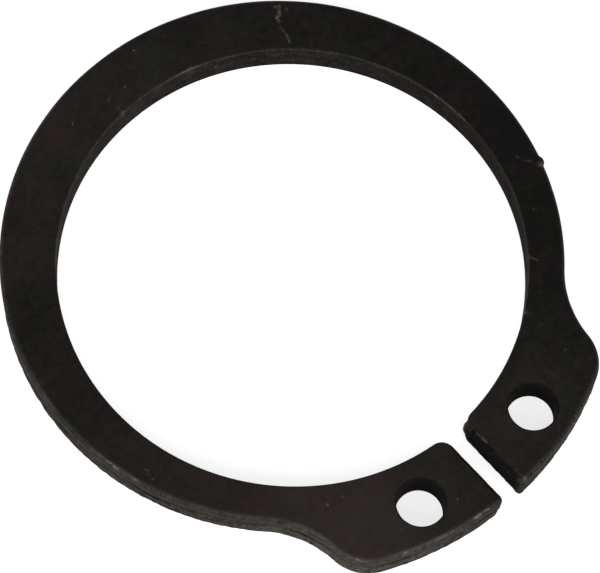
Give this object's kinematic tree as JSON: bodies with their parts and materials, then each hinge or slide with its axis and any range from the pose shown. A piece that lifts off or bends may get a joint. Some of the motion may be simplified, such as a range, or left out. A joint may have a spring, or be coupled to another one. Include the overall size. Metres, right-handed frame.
{
  "type": "external retaining ring",
  "caption": "Flat stamped external retaining ring (circlip) with a tapering band, two lugs with plier holes and an open gap, black finish.",
  "frame": {"origin": "centre of the bore on the underside, the face that the ring lies on", "axes": "+Z along the bore, from the underside to the face with the rolled edge; the gap between the lugs opens towards -Y; +X to the right seen from above"},
  "size_m": [0.0278, 0.0305, 0.0018],
  "materials": {
    "black_spring_steel": "black phosphated and oiled spring steel, satin"
  },
  "bodies": {
    "root": {"retaining_ring": "black_spring_steel"}
  },
  "joints": []
}
